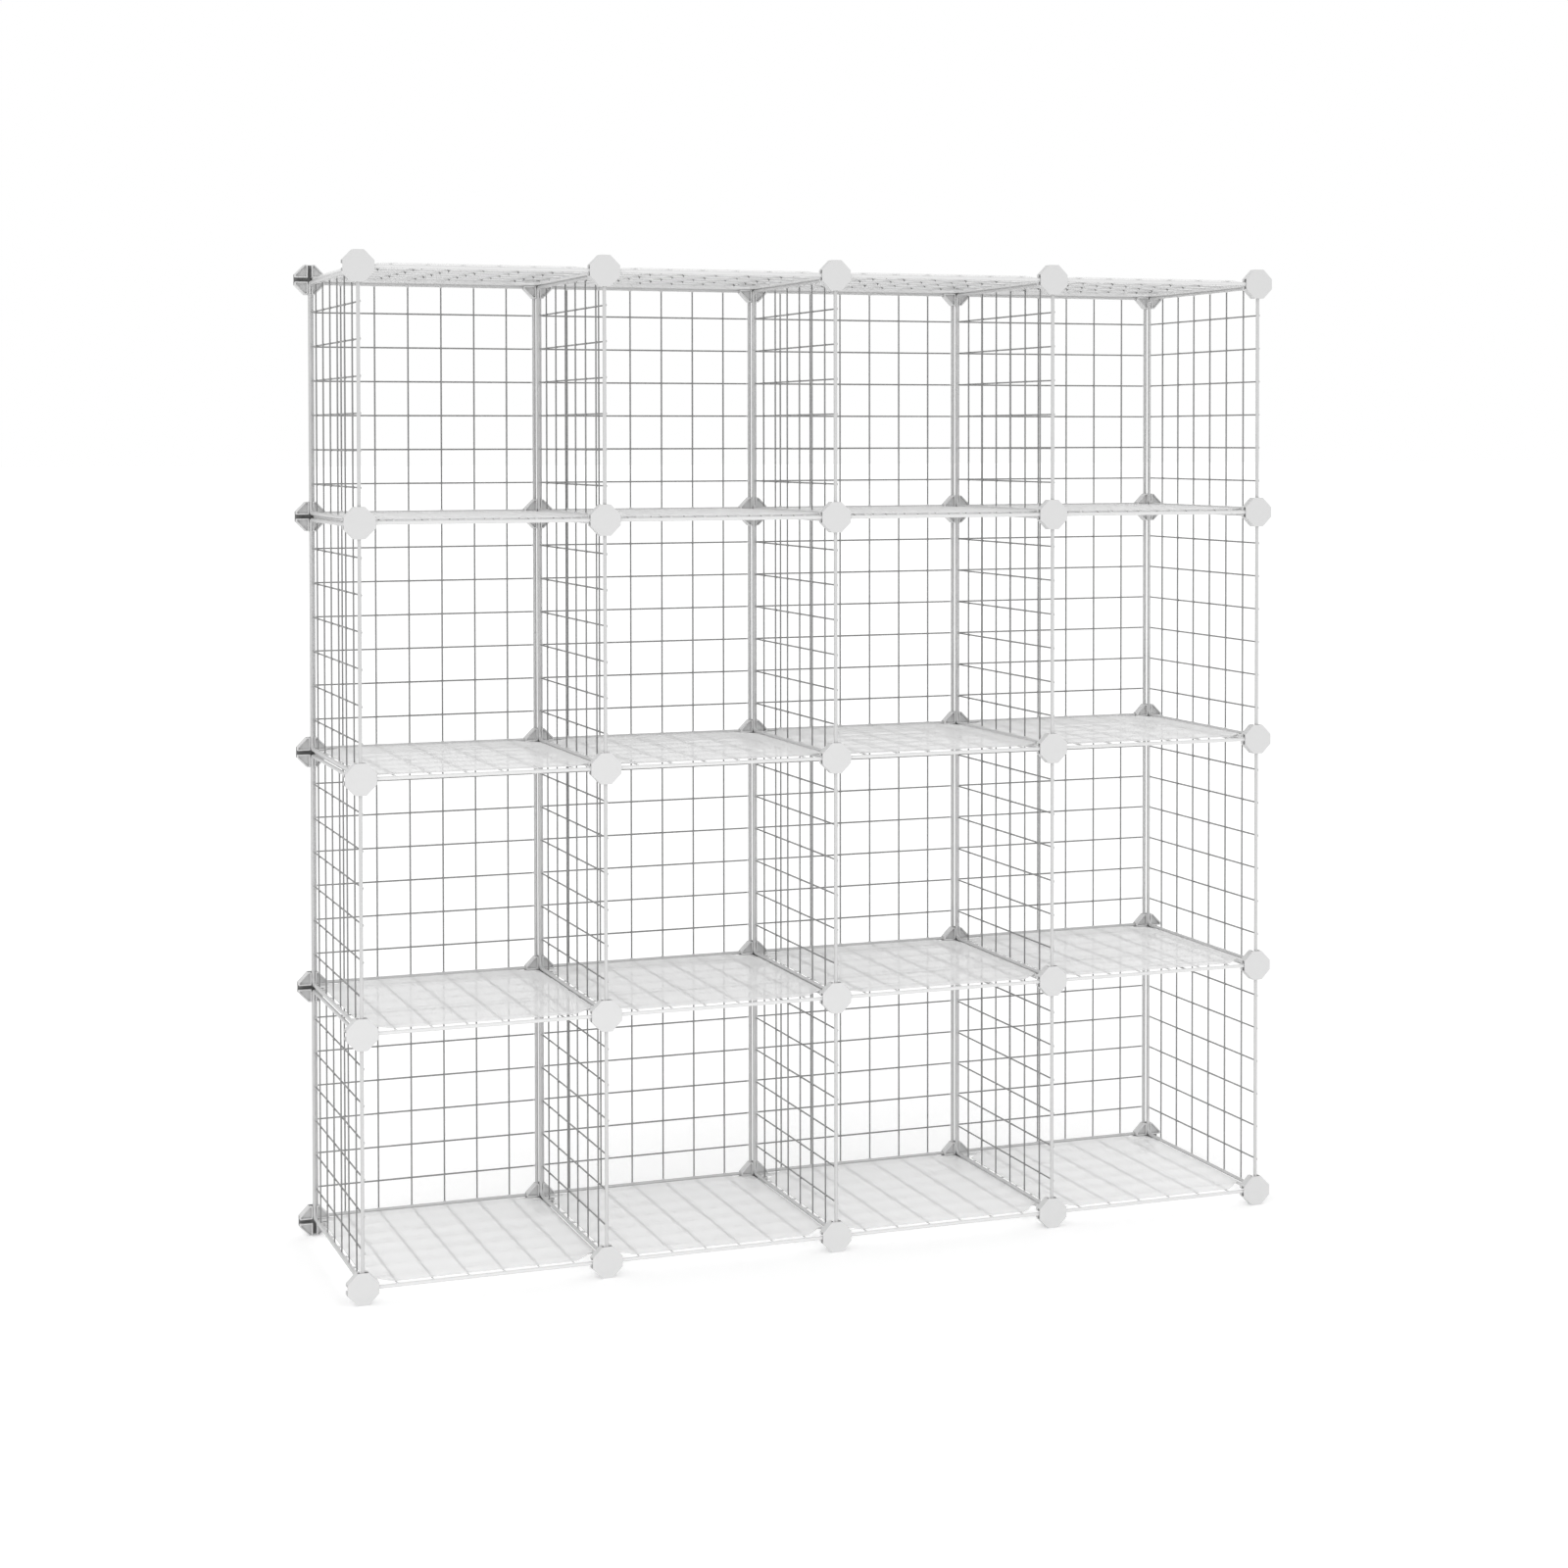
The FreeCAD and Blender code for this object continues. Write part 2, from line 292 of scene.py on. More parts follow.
class Graph:
    """A node tree being written, for a material or for geometry."""

    def __init__(self, tree):
        self.tree = tree

    def node(self, kind, options=None, inputs=None, output=0):
        """
        Add one node and give its output as a Value.

        Options are set first. Inputs are numbers, colours, names or Values, keyed by socket name
        or position, and a list joins several links to one socket.
        """
        made = self.tree.nodes.new(kind)
        for option, setting in (options or {}).items():
            setattr(made, option, setting)
        for key, given in (inputs or {}).items():
            for item in given if isinstance(given, list) else [given]:
                self.feed(made.inputs[key], item)
        return Value(self, made.outputs[output])

    def math(self, operation, *values):
        return self.node("ShaderNodeMath", {"operation": operation}, dict(enumerate(values)))

    def feed(self, socket, item):
        if isinstance(item, Value):
            self.tree.links.new(item.socket, socket)
        else:
            socket.default_value = item


class GeometryGraph(Graph):
    """A Geometry Nodes tree with named inputs, ending in Realize Instances and Set Material."""

    SOCKETS = {"size": "NodeSocketFloat", "count": "NodeSocketInt", "material": "NodeSocketMaterial"}

    def __init__(self, name, sizes=(), counts=(), takes_mesh=False):
        super().__init__(bpy.data.node_groups.new(name, "GeometryNodeTree"))
        self.named = {}
        sides = self.tree.interface
        if takes_mesh:
            sides.new_socket("Mesh", in_out="INPUT", socket_type="NodeSocketGeometry")
        for kind, names in (("size", sizes), ("count", counts), ("material", ("Material",))):
            for label in names:
                made = sides.new_socket(label, in_out="INPUT", socket_type=self.SOCKETS[kind])
                self.named[label] = made.identifier
        sides.new_socket("Mesh", in_out="OUTPUT", socket_type="NodeSocketGeometry")
        self.entry = self.tree.nodes.new("NodeGroupInput")

    def given(self, label):
        return Value(self, self.entry.outputs[label])

    def vector(self, x=0.0, y=0.0, z=0.0):
        return self.node("ShaderNodeCombineXYZ", inputs={"X": x, "Y": y, "Z": z})

    def moved(self, geometry, x=0.0, y=0.0, z=0.0):
        inputs = {"Geometry": geometry, "Translation": self.vector(x, y, z)}
        return self.node("GeometryNodeTransform", inputs=inputs)

    def turned(self, geometry, x=0.0, y=0.0, z=0.0):
        return self.node("GeometryNodeTransform", inputs={"Geometry": geometry, "Rotation": (x, y, z)})

    def scaled(self, geometry, x, y, z):
        inputs = {"Geometry": geometry, "Scale": self.vector(x, y, z)}
        return self.node("GeometryNodeTransform", inputs=inputs)

    def joined(self, *parts):
        # Links to a joining socket stack up from the bottom, so they are made last one first.
        return self.node("GeometryNodeJoinGeometry", inputs={0: list(reversed(parts))})

    def shaded(self, shade, *parts):
        """Join parts as real geometry, with a painted shade stored on them, how dark they are, for the
        material to read.
        """
        real = self.node("GeometryNodeRealizeInstances", inputs={"Geometry": self.joined(*parts)})
        inputs = {"Geometry": real, "Name": "coat_shade", "Value": shade}
        options = {"data_type": "FLOAT", "domain": "POINT"}
        return self.node("GeometryNodeStoreNamedAttribute", options, inputs)

    def on_points(self, points, piece, scale=None):
        inputs = {"Points": points, "Instance": piece}
        if scale is not None:
            inputs["Scale"] = scale
        return self.node("GeometryNodeInstanceOnPoints", inputs=inputs)

    def uneven(self, low, high, seed):
        """A random number for each point, the same every time."""
        options = {"data_type": "FLOAT"}
        return self.node("FunctionNodeRandomValue", options, {2: low, 3: high, "Seed": seed}, output=1)

    def finish(self, geometry, smooth=False):
        real = self.node("GeometryNodeRealizeInstances", inputs={"Geometry": geometry})
        inputs = {"Geometry": real, "Shade Smooth": smooth}
        shaded = self.node("GeometryNodeSetShadeSmooth", inputs=inputs)
        inputs = {"Geometry": shaded, "Material": self.given("Material")}
        coated = self.node("GeometryNodeSetMaterial", inputs=inputs)
        out = self.tree.nodes.new("NodeGroupOutput")
        self.feed(out.inputs[0], coated)
        return self


def run_tree(graph, values, base=None):
    """The plain mesh that a geometry tree makes with these values, from a base mesh if it takes one."""
    mesh = base or bpy.data.meshes.new("blank")
    carrier = bpy.data.objects.new("carrier", mesh)
    bpy.context.scene.collection.objects.link(carrier)
    modifier = carrier.modifiers.new("tree", "NODES")
    modifier.node_group = graph.tree
    for label, given in values.items():
        modifier[graph.named[label]] = given
    bpy.context.view_layer.update()
    depsgraph = bpy.context.evaluated_depsgraph_get()
    made = bpy.data.meshes.new_from_object(carrier.evaluated_get(depsgraph))
    bpy.data.objects.remove(carrier)
    if not made.polygons:
        raise RuntimeError(f"{graph.tree.name} made no faces")
    return made


def add_piece(name, mesh, slot, *nodes):
    """Show a finished mesh as one piece of the unit, in place of the CAD nodes it stands for."""
    mesh.name = name
    piece = bpy.data.objects.new(name, mesh)
    bpy.context.scene.collection.objects.link(piece)
    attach(piece, BODY)
    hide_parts(*nodes)


# ---------------------------------------------------------------- materials

def material(name):
    """A new material, with its node tree and its main shader."""
    made = bpy.data.materials.new(name)
    made.use_nodes = True
    graph = Graph(made.node_tree)
    shader = next(node for node in graph.tree.nodes if node.type == "BSDF_PRINCIPLED")
    return made, graph, shader


def object_noise(graph, scale, detail=2.0):
    """Smooth noise fixed to the piece. The scale is in waves to the metre."""
    where = graph.node("ShaderNodeTexCoord", output="Object")
    inputs = {"Vector": where, "Scale": scale, "Detail": detail}
    return graph.node("ShaderNodeTexNoise", inputs=inputs)


def add_grain(graph, shader, scale, strength):
    """A fine bump on a surface, a tenth of a millimetre deep at most."""
    grain = object_noise(graph, scale, detail=1.0)
    inputs = {"Height": grain, "Strength": strength, "Distance": 0.1 * MM}
    graph.feed(shader.inputs["Normal"], graph.node("ShaderNodeBump", inputs=inputs))


def mixed_colour(graph, factor, first, second):
    """A colour between two others. Each may be a colour or a Value."""
    options = {"data_type": "RGBA"}
    inputs = {0: factor, 6: first, 7: second}
    return graph.node("ShaderNodeMix", options, inputs, output=2)


def opaque(colour, level=1.0):
    return (*(channel * level for channel in colour), 1.0)


def wire_coat():
    """White powder coat with a fine orange peel, darkened by the painted shade that each wire stores."""
    finish = settings().finish
    made, graph, shader = material("powder_coated_wire")
    # Painted shade stored on each wire, with random tone clouds added, mixes the coat towards the painted
    # shade tone.
    shade = graph.node("ShaderNodeAttribute", {"attribute_name": "coat_shade"}, output="Fac")
    cloud = object_noise(graph, 9.0)
    patch = object_noise(graph, 140.0)
    shade = shade + 0.05 * cloud + 0.03 * patch
    colour = mixed_colour(graph, shade, opaque(finish.coat), opaque(finish.coat_painted_shade))
    graph.feed(shader.inputs["Base Color"], colour)
    graph.feed(shader.inputs["Roughness"], 0.30 + 0.16 * patch)
    add_grain(graph, shader, 700.0, 0.1)
    shader.inputs["Coat Weight"].default_value = 0.15
    shader.inputs["Coat Roughness"].default_value = 0.25
    return made


def moulded_plastic():
    """White moulded plastic with a fine matt texture and faint flow clouds, with painted shade in its slots
    and recesses.
    """
    finish = settings().finish
    made, graph, shader = material("moulded_white_plastic")
    inside = graph.node("ShaderNodeAttribute", {"attribute_name": "inside"}, output="Fac")
    cloud = object_noise(graph, 35.0, detail=3.0)
    colour = mixed_colour(graph, 0.10 * cloud, opaque(finish.plastic), opaque(finish.plastic, 0.8))
    # Painted shade: faces stored as shut in are darkened towards the connector's painted shade tone.
    colour = mixed_colour(graph, inside, colour, opaque(finish.plastic_painted_shade))
    graph.feed(shader.inputs["Base Color"], colour)
    graph.feed(shader.inputs["Roughness"], 0.36 + 0.12 * cloud)
    add_grain(graph, shader, 1200.0, 0.08)
    return made


def sheet_plastic():
    """Milky see-through plastic with a fine grain and slow waves in its gloss."""
    finish = settings().finish
    made, graph, shader = material("milky_plastic_sheet")
    slow = object_noise(graph, 6.0)
    colour = mixed_colour(graph, 0.10 * slow, opaque(finish.sheet), opaque(finish.sheet, 0.85))
    graph.feed(shader.inputs["Base Color"], colour)
    graph.feed(shader.inputs["Roughness"], 0.42 + 0.14 * slow)
    graph.feed(shader.inputs["Alpha"], finish.sheet_cover + 0.06 * slow)
    add_grain(graph, shader, 1800.0, 0.06)
    glow = graph.node("ShaderNodeBsdfTranslucent", inputs={"Color": colour})
    inputs = {0: finish.sheet_glow, 1: Value(graph, shader.outputs[0]), 2: glow}
    out = next(node for node in graph.tree.nodes if node.type == "OUTPUT_MATERIAL")
    graph.feed(out.inputs["Surface"], graph.node("ShaderNodeMixShader", inputs=inputs))
    return made


def floor_finish():
    """Plain pale floor that gives off a little light, like a studio table, and painted light under the
    unit: a stronger glow there that lifts the shade beneath it.
    """
    stage = settings().stage
    made, graph, shader = material("pale_floor")
    cloud = object_noise(graph, 0.7)
    colour = opaque(stage.floor)
    where = graph.node("ShaderNodeTexCoord", output="Object")
    fade = 30 * MM
    cover = 1.0
    for axis, half in (("X", CAD_BOX[1].x), ("Y", CAD_BOX[1].y)):
        along = graph.node("ShaderNodeSeparateXYZ", inputs={0: where}, output=axis)
        edge = (half - graph.math("ABSOLUTE", along)) / fade
        cover = graph.math("MINIMUM", cover, graph.math("MAXIMUM", edge, 0.0))
    # Painted light: the floor glows more under the unit, fading out towards the edges of its footprint.
    glow = stage.floor_glow + stage.painted_glow_under_unit * cover
    graph.feed(shader.inputs["Base Color"], mixed_colour(graph, 0.05 * cloud, colour, (1, 1, 1, 1)))
    shader.inputs["Roughness"].default_value = 0.9
    shader.inputs["Specular IOR Level"].default_value = 0.0
    shader.inputs["Emission Strength"].default_value = 1.0
    graph.feed(shader.inputs["Emission Color"], mixed_colour(graph, glow, (0, 0, 0, 1), (1, 1, 1, 1)))
    return made


def finish_named(name, maker):
    return bpy.data.materials.get(name) or maker()


# ---------------------------------------------------------------- geometry trees

def rod(graph, length, radius):
    """A straight wire along x with softly domed ends: a ball whose two halves are drawn apart."""
    ball = graph.node("GeometryNodeMeshUVSphere", inputs={"Segments": 10, "Rings": 6, "Radius": radius})
    lying = graph.turned(ball, y=math.pi / 2)
    dome = 0.5
    short = graph.scaled(lying, dome, 1.0, 1.0)
    where = graph.node("GeometryNodeInputPosition")
    along = graph.node("ShaderNodeSeparateXYZ", inputs={0: where}, output="X")
    side = graph.math("SIGN", graph.math("ROUND", along / (0.1 * MM)))
    pull = graph.vector(x=side * (length * 0.5 - radius * dome))
    return graph.node("GeometryNodeSetPosition", inputs={"Geometry": short, "Offset": pull})


def row_points(graph, number, spacing):
    """Points in a row along y, centred on the origin."""
    start = graph.vector(y=-(number - 1) * spacing * 0.5)
    inputs = {"Count": number, "Start Location": start, "Offset": graph.vector(y=spacing)}
    return graph.node("GeometryNodeMeshLine", inputs=inputs)


def bead(graph, x, y, z, detail=2):
    """A small rounded blob of coat, given its three half sizes."""
    ball = graph.node("GeometryNodeMeshIcoSphere", inputs={"Radius": 1.0, "Subdivisions": detail})
    return graph.scaled(ball, x, y, z)


def panel_tree():
    """One welded grid panel, centred on the origin in its own xy plane."""
    labels = ("Side", "Frame Wire", "Bend", "Mesh Wire", "Spacing", "Lap Height", "Cross Height",
              "Lap End", "Weld", "Weld Height", *(f"{group} Shade" for group in PAINTED_SHADE_PARTS))
    graph = GeometryGraph("welded_grid_panel", labels, ("Wires",))
    side, frame_wire, bend, mesh_wire, spacing, lap, cross, lap_end, weld, weld_height, *shades = map(
        graph.given, labels
    )
    wires = graph.given("Wires")
    frame_radius = frame_wire * 0.5
    radius = mesh_wire * 0.5

    square = graph.node("GeometryNodeCurvePrimitiveQuadrilateral", inputs={"Width": side, "Height": side})
    inputs = {"Curve": square, "Radius": bend, "Count": 7, "Limit Radius": True}
    path = graph.node("GeometryNodeFilletCurve", {"mode": "POLY"}, inputs)
    ring = graph.node("GeometryNodeCurvePrimitiveCircle", inputs={"Resolution": 16, "Radius": frame_radius})
    loop = graph.node("GeometryNodeCurveToMesh", inputs={"Curve": path, "Profile Curve": ring})

    lapped_wire = rod(graph, side + lap_end * 2, radius)
    lapped = graph.moved(graph.on_points(row_points(graph, wires, spacing), lapped_wire), z=lap)
    crossing_wire = rod(graph, side - frame_radius, radius)
    crossing = graph.on_points(row_points(graph, wires, spacing), crossing_wire)
    crossing = graph.moved(graph.turned(crossing, z=math.pi / 2), z=cross)

    span = (wires - 1) * spacing
    inputs = {"Size X": span, "Size Y": span, "Vertices X": wires, "Vertices Y": wires}
    crossings = graph.node("GeometryNodeMeshGrid", inputs=inputs)
    uneven = graph.uneven(0.9, 1.12, 7)
    joint = bead(graph, weld, weld, weld_height * 0.5, detail=1)
    weld_place = lap + radius * 0.85 - weld_height * 0.5
    welds = graph.moved(graph.on_points(crossings, joint, uneven), z=weld_place)

    lap_weld = bead(graph, frame_radius * 0.85, radius * 1.5, radius * 0.75)
    ends = graph.on_points(row_points(graph, wires, spacing), lap_weld, graph.uneven(0.92, 1.1, 11))
    ends = graph.moved(ends, z=frame_radius * 0.98)
    tip_length = frame_radius * 2.0
    tip = rod(graph, tip_length, radius * 1.04)
    tips = graph.moved(graph.on_points(row_points(graph, wires, spacing), tip), z=lap)
    tip_place = side * 0.5 + lap_end - tip_length * 0.5
    lap_welds = graph.joined(
        graph.moved(ends, x=side * 0.5), graph.moved(ends, x=side * -0.5),
        graph.moved(tips, x=tip_place), graph.moved(tips, x=-tip_place),
    )

    butt_weld = bead(graph, radius * 1.3, radius * 1.5, radius * 1.5)
    feet = graph.on_points(row_points(graph, wires, spacing), butt_weld, graph.uneven(0.92, 1.1, 13))
    feet = graph.moved(feet, z=cross)
    reach = side * 0.5 - frame_radius
    feet = graph.joined(graph.moved(feet, x=reach), graph.moved(feet, x=-reach))
    butt_welds = graph.turned(feet, z=math.pi / 2)

    # Each group takes its own painted shade: the loop with the welds and tips at the wires' ends, the
    # lapped wires, the other wires, and the welds at the crossings, painted dark as shadow in the crevices.
    groups = ((loop, lap_welds, butt_welds), (lapped,), (crossing,), (welds,))
    parts = [graph.shaded(shade, *group) for shade, group in zip(shades, groups)]
    return graph.finish(graph.joined(*parts), smooth=True)


def connector_tree():
    """A connector repeated on a square of points, in its own xy plane and centred on the origin."""
    graph = GeometryGraph("connector_square", ("Pitch",), ("Lines",), takes_mesh=True)
    lines = graph.given("Lines")
    span = (lines - 1) * graph.given("Pitch")
    inputs = {"Size X": span, "Size Y": span, "Vertices X": lines, "Vertices Y": lines}
    points = graph.node("GeometryNodeMeshGrid", inputs=inputs)
    return graph.finish(graph.on_points(points, graph.given("Mesh")))


def sheet_tree():
    """A sheet that lifts a little here and there off the wires that it lies on."""
    graph = GeometryGraph("lifted_sheet", ("Wave",), ("Seed",), takes_mesh=True)
    where = graph.node("GeometryNodeInputPosition")
    seed = graph.given("Seed")
    inputs = {"Vector": where, "W": seed * 1.7, "Scale": 7.0, "Detail": 1.0}
    noise = graph.node("ShaderNodeTexNoise", {"noise_dimensions": "4D"}, inputs)
    lift = graph.vector(z=noise * graph.given("Wave"))
    inputs = {"Geometry": graph.given("Mesh"), "Offset": lift}
    return graph.finish(graph.node("GeometryNodeSetPosition", inputs=inputs))


# ---------------------------------------------------------------- modelled pieces

def solid(mesh, corners, low, high):
    """Add an upright prism over an outline given anticlockwise."""
    floor = [mesh.verts.new((x, y, low)) for x, y in corners]
    roof = [mesh.verts.new((x, y, high)) for x, y in corners]
    mesh.faces.new(reversed(floor))
    mesh.faces.new(roof)
    for i, corner in enumerate(floor):
        after = (i + 1) % len(floor)
        mesh.faces.new((corner, floor[after], roof[after], roof[i]))


def quarter_turns(corners):
    """The same outline in each of the four quadrants."""
    turned = list(corners)
    for _ in range(4):
        yield turned
        turned = [(-y, x) for x, y in turned]


def prisms(name, outlines, low, high):
    """An object made of upright prisms."""
    mesh = bmesh.new()
    for corners in outlines:
        solid(mesh, corners, low, high)
    made = bpy.data.meshes.new(name)
    mesh.to_mesh(made)
    mesh.free()
    carrier = bpy.data.objects.new(name, made)
    bpy.context.scene.collection.objects.link(carrier)
    return carrier


def combined(start, steps):
    """The mesh left after joining to or cutting from one object the others, in order."""
    for operation, other in steps:
        modifier = start.modifiers.new(other.name, "BOOLEAN")
        modifier.operation = operation
        modifier.object = other
        modifier.solver = "EXACT"
    bpy.context.view_layer.update()
    depsgraph = bpy.context.evaluated_depsgraph_get()
    made = bpy.data.meshes.new_from_object(start.evaluated_get(depsgraph))
    for carrier in [start] + [other for _, other in steps]:
        bpy.data.objects.remove(carrier)
    return made


def round_edges(mesh, radius):
    """Round the sharp edges of a mesh made of flat faces."""
    work = bmesh.new()
    work.from_mesh(mesh)
    bmesh.ops.remove_doubles(work, verts=work.verts, dist=radius / 100)
    bmesh.ops.dissolve_limit(work, angle_limit=math.radians(1), verts=work.verts, edges=work.edges)
    sharp = [edge for edge in work.edges if edge.calc_face_angle(0) > math.radians(25)]
    bmesh.ops.bevel(
        work, geom=sharp, offset=radius, segments=2, profile=0.5, affect="EDGES", clamp_overlap=True
    )
    bmesh.ops.recalc_face_normals(work, faces=work.faces)
    work.to_mesh(mesh)
    work.free()
    return mesh


def connector_mesh():
    """One connector, with its cap's face on its own xy plane and its slots opening towards +z."""
    part = settings().connector
    reach, flat, half_slot = part.across / 2, part.flat / 2, part.slot / 2
    mouth, neck = half_slot + part.flare, reach - part.flare
    corner = [(reach, flat), (flat, reach)]
    cap = [point for quadrant in quarter_turns(corner) for point in quadrant]
    slant_wall = part.wall * math.sqrt(2)
    inner = reach - slant_wall
    rim = [(reach, flat), (flat, reach), (flat, inner), (inner, flat)]
    block = [(half_slot, half_slot), (neck, half_slot), (reach, mouth), (reach, flat),
             (flat, reach), (mouth, reach), (half_slot, neck)]
    near, far, shoulder = half_slot + part.wall, reach - part.wall, flat + part.wall - slant_wall
    recess = [(near, near), (far, near), (far, shoulder), (shoulder, far), (near, far)]
    above = CONNECTOR_DEPTH + part.wall
    made = combined(prisms("cap", [cap], 0, part.cap), [
        ("UNION", prisms("rims", quarter_turns(rim), part.cap / 2, CONNECTOR_DEPTH)),
        ("UNION", prisms("blocks", quarter_turns(block), part.seat, CONNECTOR_DEPTH)),
        ("DIFFERENCE", prisms("recesses", quarter_turns(recess), part.seat + part.floor, above)),
    ])
    return paint_connector_shade(round_edges(made, part.rounding), part)


def paint_connector_shade(mesh, part):
    """Store on each face of a connector how far it is shut in, as painted shade for the material to darken
    it by.
    """
    def kind(face):
        height = face.center.z
        outward = face.normal.xy.dot(face.center.xy)
        if outward > part.flat / 2 or not part.cap / 2 < height < CONNECTOR_DEPTH - part.rounding:
            return "outer"
        facing_up = face.normal.z > 0.5
        if facing_up:
            return "recess" if height > part.seat else "slot_floor"
        return "recess" if height > (part.seat + CONNECTOR_DEPTH + part.rounding) / 2 else "slot_wall"

    levels = [CONNECTOR_PAINTED_SHADE[kind(face)] for face in mesh.polygons]
    mesh.attributes.new("inside", "FLOAT", "FACE").data.foreach_set("value", levels)
    return mesh


def sheet_mesh():
    """One flat sheet with its four corners cut off, lying on its own xy plane."""
    part = settings().sheet
    work = bmesh.new()
    bmesh.ops.create_grid(work, x_segments=part.cells, y_segments=part.cells, size=part.side / 2)
    for x, y in ((1, 1), (-1, 1), (-1, -1), (1, -1)):
        cut = Vector((x, y, 0)) * (part.side - part.corner) / 2
        bmesh.ops.bisect_plane(
            work, geom=work.verts[:] + work.edges[:] + work.faces[:],
            plane_co=cut, plane_no=(x, y, 0), clear_outer=True,
        )
    raised = bmesh.ops.extrude_face_region(work, geom=work.faces[:])
    tops = [item for item in raised["geom"] if isinstance(item, bmesh.types.BMVert)]
    bmesh.ops.translate(work, verts=tops, vec=(0, 0, part.thickness))
    bmesh.ops.recalc_face_normals(work, faces=work.faces)
    made = bpy.data.meshes.new("flat_sheet")
    work.to_mesh(made)
    work.free()
    return made


# ---------------------------------------------------------------- operators

class BuildStep:
    """What every build button shares."""

    bl_options = {"REGISTER", "UNDO"}

    def execute(self, context):
        self.build(context.scene.cube_unit)
        return {"FINISHED"}


class CUBEUNIT_OT_panels(BuildStep, bpy.types.Operator):
    """Build the welded grid panels and put one in each panel's place"""

    bl_idname = "cube_unit.panels"
    bl_label = "Grid Panels"

    def build(self, unit):
        part = unit.panel
        graph = panel_tree()
        values = {
            "Side": PANEL_OUTER - part.frame_wire, "Frame Wire": part.frame_wire, "Bend": part.bend,
            "Mesh Wire": part.mesh_wire, "Spacing": part.spacing, "Lap Height": part.lap_height,
            "Cross Height": part.cross_height, "Lap End": part.lap_end, "Weld": part.weld,
            "Weld Height": part.weld_height, "Wires": part.wires,
            "Material": finish_named("powder_coated_wire", wire_coat),
        }
        # The lapped wires are on each panel's high side, so its low side is the bare frame loop.
        for kind, nodes in PANEL_NODES.items():
            # Painted shade: standing panels take darker shades than lying ones, as though less lit.
            pose = "lying" if kind == "level" else "standing"
            for group in PAINTED_SHADE_PARTS:
                values[f"{group} Shade"] = getattr(unit.finish, f"{pose}_{group.lower()}")
            made = run_tree(graph, values)
            thin = THIN_AXES[kind]
            for node in nodes:
                place = middle(node)
                place[thin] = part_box(node)[0][thin] + part.frame_wire / 2
                mesh = made.copy()
                mesh.transform(placed(PANEL_TURNS[kind], place))
                add_piece(node + "_wires", mesh, "coated_wire", node)
            bpy.data.meshes.remove(made)


class CUBEUNIT_OT_connectors(BuildStep, bpy.types.Operator):
    """Build the slotted connectors along the front and along the back"""

    bl_idname = "cube_unit.connectors"
    bl_label = "Connectors"

    def build(self, unit):
        part = unit.connector
        pitch = (FRONT_HIGH.x - FRONT_LOW.x - part.across) / (part.lines - 1)
        graph = connector_tree()
        values = {"Pitch": pitch, "Lines": part.lines}
        values["Material"] = finish_named("moulded_white_plastic", moulded_plastic)
        for side, face in (("front", FRONT_LOW.y), ("back", BACK_HIGH.y)):
            node = side + "_connectors"
            place = middle(node)
            place.y = face
            mesh = run_tree(graph, values, connector_mesh())
            mesh.transform(placed(CONNECTOR_TURNS[side], place))
            add_piece(node + "_moulded", mesh, "connector_plastic", node)


class CUBEUNIT_OT_sheets(BuildStep, bpy.types.Operator):
    """Lay a loose sheet on each level panel"""

    bl_idname = "cube_unit.sheets"
    bl_label = "Sheets"

    def build(self, unit):
        part = unit.sheet
        graph = sheet_tree()
        plastic = finish_named("milky_plastic_sheet", sheet_plastic)
        floors = unit.connector.lines
        columns = floors - 1
        step = SHEETS_HIGH - SHEETS_LOW - Vector((part.side, 0, part.thickness))
        for level in range(floors):
            for column in range(columns):
                values = {"Wave": part.wave, "Seed": level * columns + column, "Material": plastic}
                mesh = run_tree(graph, values, sheet_mesh())
                place = Vector((
                    SHEETS_LOW.x + part.side / 2 + step.x * column / (columns - 1),
                    (SHEETS_LOW.y + SHEETS_HIGH.y) / 2,
                    SHEETS_LOW.z + step.z * level / (floors - 1),
                ))
                mesh.transform(Matrix.Translation(place))
                name = f"sheet_level_{level + 1}_column_{column + 1}"
                add_piece(name, mesh, "sheet_plastic", "shelf_sheets")


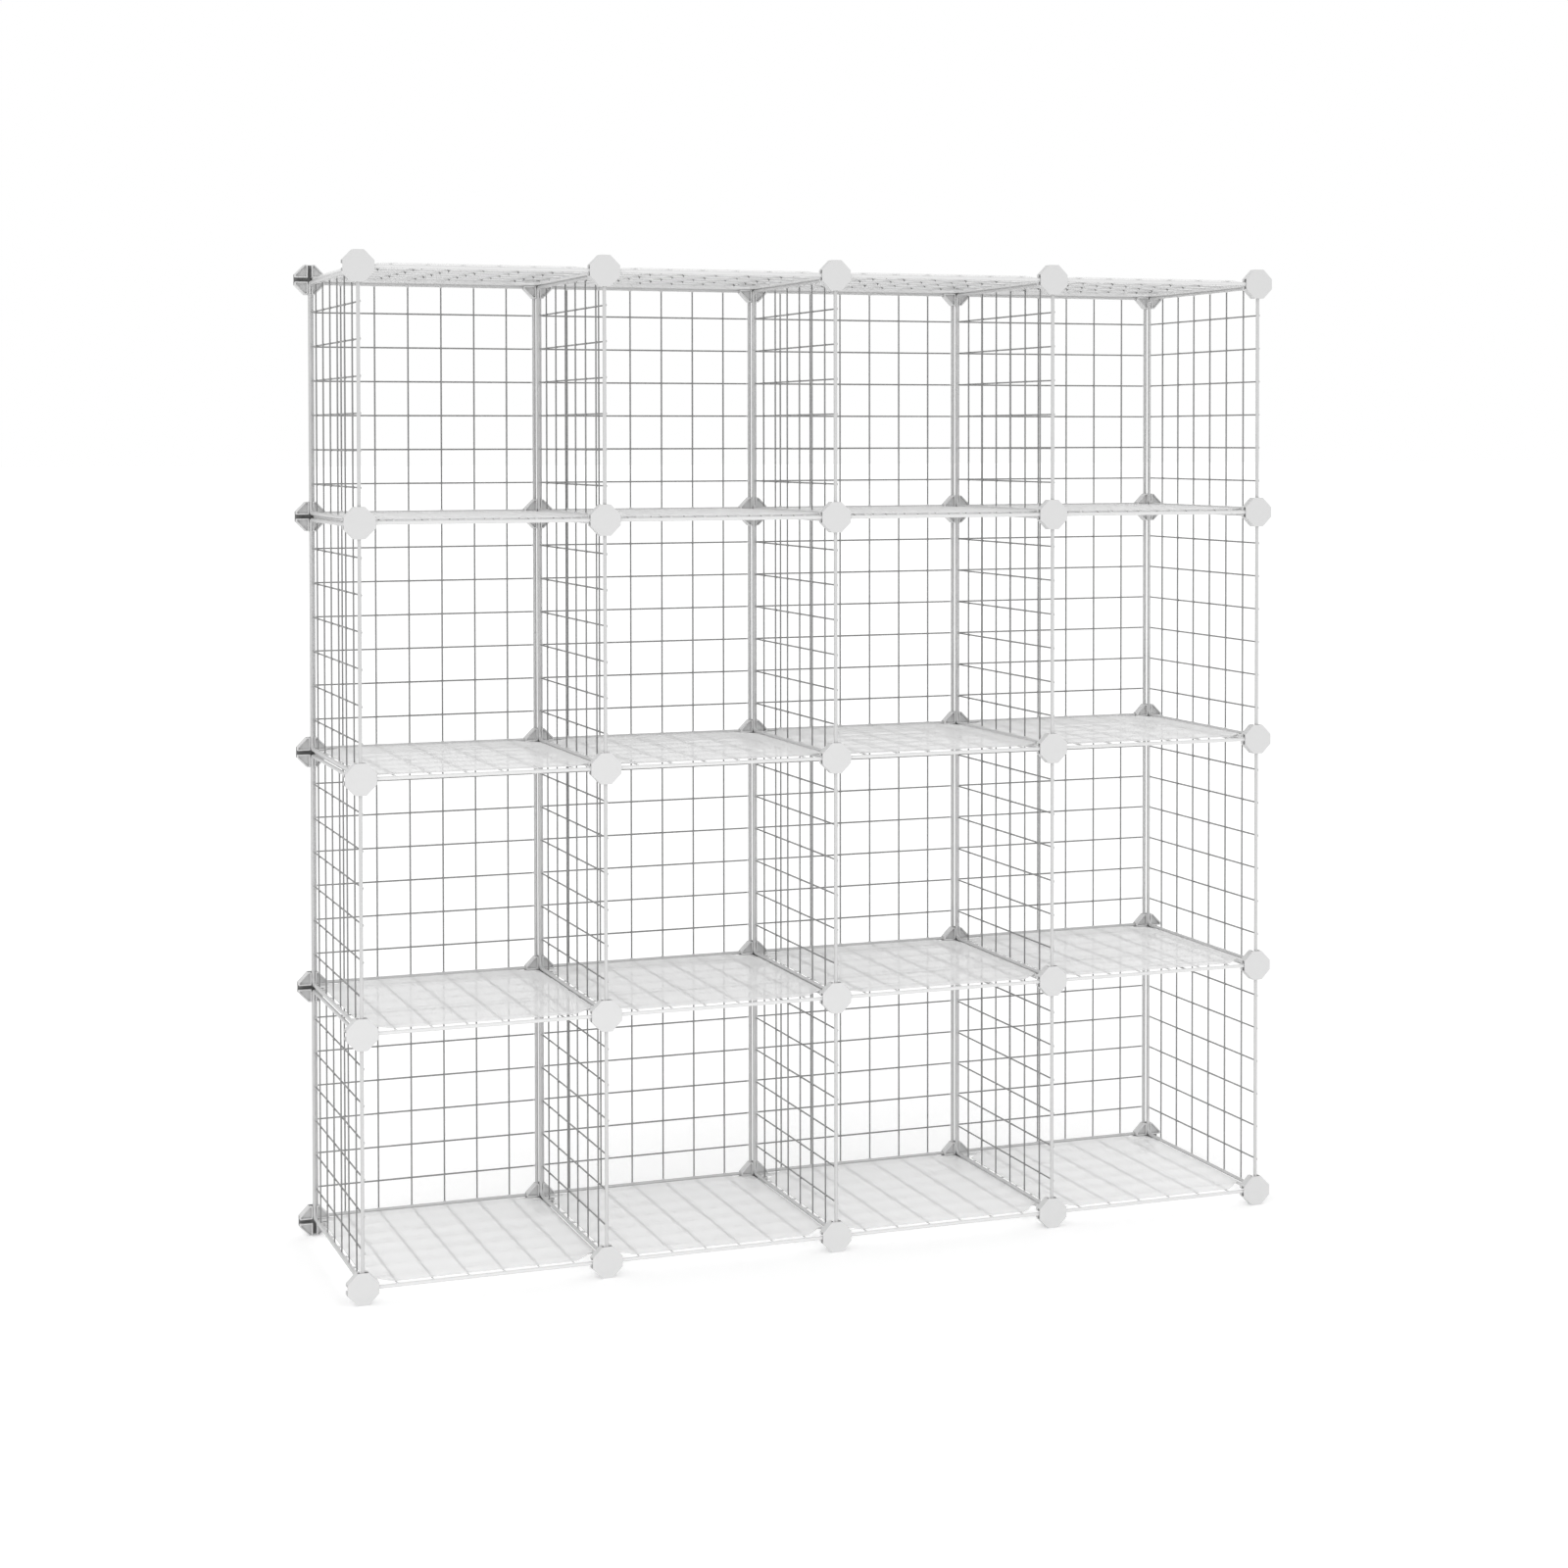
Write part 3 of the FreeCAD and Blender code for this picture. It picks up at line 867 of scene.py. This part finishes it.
class CUBEUNIT_OT_stage(BuildStep, bpy.types.Operator):
    """Set up the floor, the light and the camera"""

    bl_idname = "cube_unit.stage"
    bl_label = "Stage"

    def build(self, unit):
        stage = unit.stage
        scene = bpy.context.scene
        scene.view_settings.view_transform = "Standard"
        half = 100.0
        corners = [(-half, -half, 0), (half, -half, 0), (half, half, 0), (-half, half, 0)]
        plane = bpy.data.meshes.new("floor")
        plane.from_pydata(corners, [], [(0, 1, 2, 3)])
        plane.materials.append(finish_named("pale_floor", floor_finish))
        floor = bpy.data.objects.new("floor", plane)

        world = bpy.data.worlds.new("studio")
        world.use_nodes = True
        sky = next(node for node in world.node_tree.nodes if node.type == "BACKGROUND")
        sky.inputs["Color"].default_value = (1, 1, 1, 1)
        sky.inputs["Strength"].default_value = stage.sky
        scene.world = world

        lamp = bpy.data.lights.new("key", "SUN")
        lamp.energy = stage.key
        lamp.angle = math.radians(50)
        key = bpy.data.objects.new("key", lamp)
        key.rotation_euler = (math.radians(48), 0, math.radians(-38))

        low = bpy.data.lights.new("fill", "AREA")
        low.energy = stage.fill
        low.shape, low.size, low.size_y = "RECTANGLE", 1.6, 0.2
        fill = bpy.data.objects.new("fill", low)
        fill.location = (-0.3, -1.6, 0.12)
        fill.rotation_euler = (math.radians(102), 0, math.radians(-6))
        unlit = bpy.data.collections.new("not_lit_by_fill")
        unlit.objects.link(floor)
        fill.light_linking.receiver_collection = unlit
        unlit.collection_objects[0].light_linking.link_state = "EXCLUDE"

        lens = bpy.data.cameras.new("camera")
        lens.lens = stage.lens
        lens.shift_x, lens.shift_y = stage.shift
        camera = bpy.data.objects.new("camera", lens)
        camera.location = stage.place
        camera.rotation_euler = stage.aim

        for thing in (floor, key, fill, camera):
            scene.collection.objects.link(thing)
        scene.camera = camera


BUILD_STEPS = (CUBEUNIT_OT_panels, CUBEUNIT_OT_connectors, CUBEUNIT_OT_sheets, CUBEUNIT_OT_stage)
GROUPS = (PanelSettings, ConnectorSettings, SheetSettings, FinishSettings, StageSettings)


class CUBEUNIT_PT_build(bpy.types.Panel):
    """Settings and build buttons in the sidebar"""

    bl_label = "Cube Unit"
    bl_category = "Cube Unit"
    bl_space_type = "VIEW_3D"
    bl_region_type = "UI"

    def draw(self, context):
        unit = context.scene.cube_unit
        for group in ("panel", "connector", "sheet", "finish", "stage"):
            box = self.layout.box()
            box.label(text=group.title())
            members = getattr(unit, group)
            for label in members.__annotations__:
                box.prop(members, label)
        for step in BUILD_STEPS:
            self.layout.operator(step.bl_idname)


CLASSES = (*GROUPS, CubeUnitSettings, *BUILD_STEPS, CUBEUNIT_PT_build)


def register():
    for item in CLASSES:
        bpy.utils.register_class(item)
    bpy.types.Scene.cube_unit = bpy.props.PointerProperty(type=CubeUnitSettings)


def unregister():
    del bpy.types.Scene.cube_unit
    for item in reversed(CLASSES):
        bpy.utils.unregister_class(item)


def main():
    register()
    bpy.ops.cube_unit.panels()
    bpy.ops.cube_unit.connectors()
    bpy.ops.cube_unit.sheets()
    bpy.ops.cube_unit.stage()


if __name__ == "__main__":
    main()
